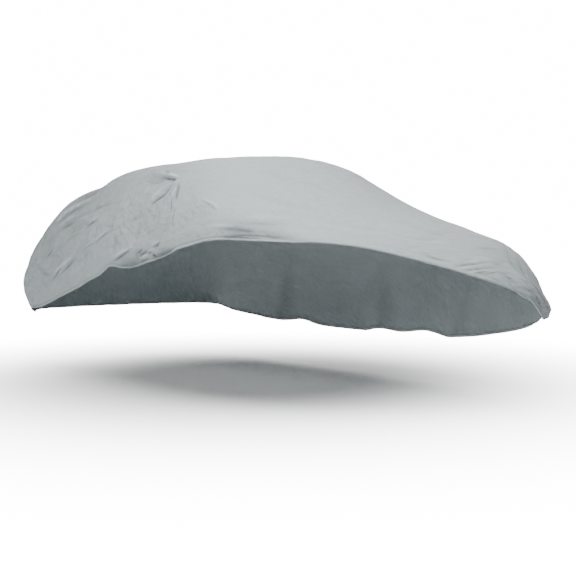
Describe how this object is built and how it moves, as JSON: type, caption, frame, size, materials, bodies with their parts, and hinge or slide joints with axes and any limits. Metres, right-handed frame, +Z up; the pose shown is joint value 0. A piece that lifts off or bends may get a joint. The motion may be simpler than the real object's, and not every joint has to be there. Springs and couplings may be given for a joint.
{
  "type": "fitted car cover",
  "caption": "Fitted cloth cover that shelters a hatchback from roof to wheels, shown drawn up along one side and across the bonnet.",
  "frame": {"origin": "inner face of the cloth under the crown of the roof, on the centreline, where the car's roof holds the cover up", "axes": "+X to the front of the car, +Y to the car's left, +Z up"},
  "size_m": [4.4161, 1.9896, 1.2668],
  "materials": {
    "cover": "matte non-woven"
  },
  "bodies": {
    "root": {"cover": "cover"}
  },
  "joints": []
}
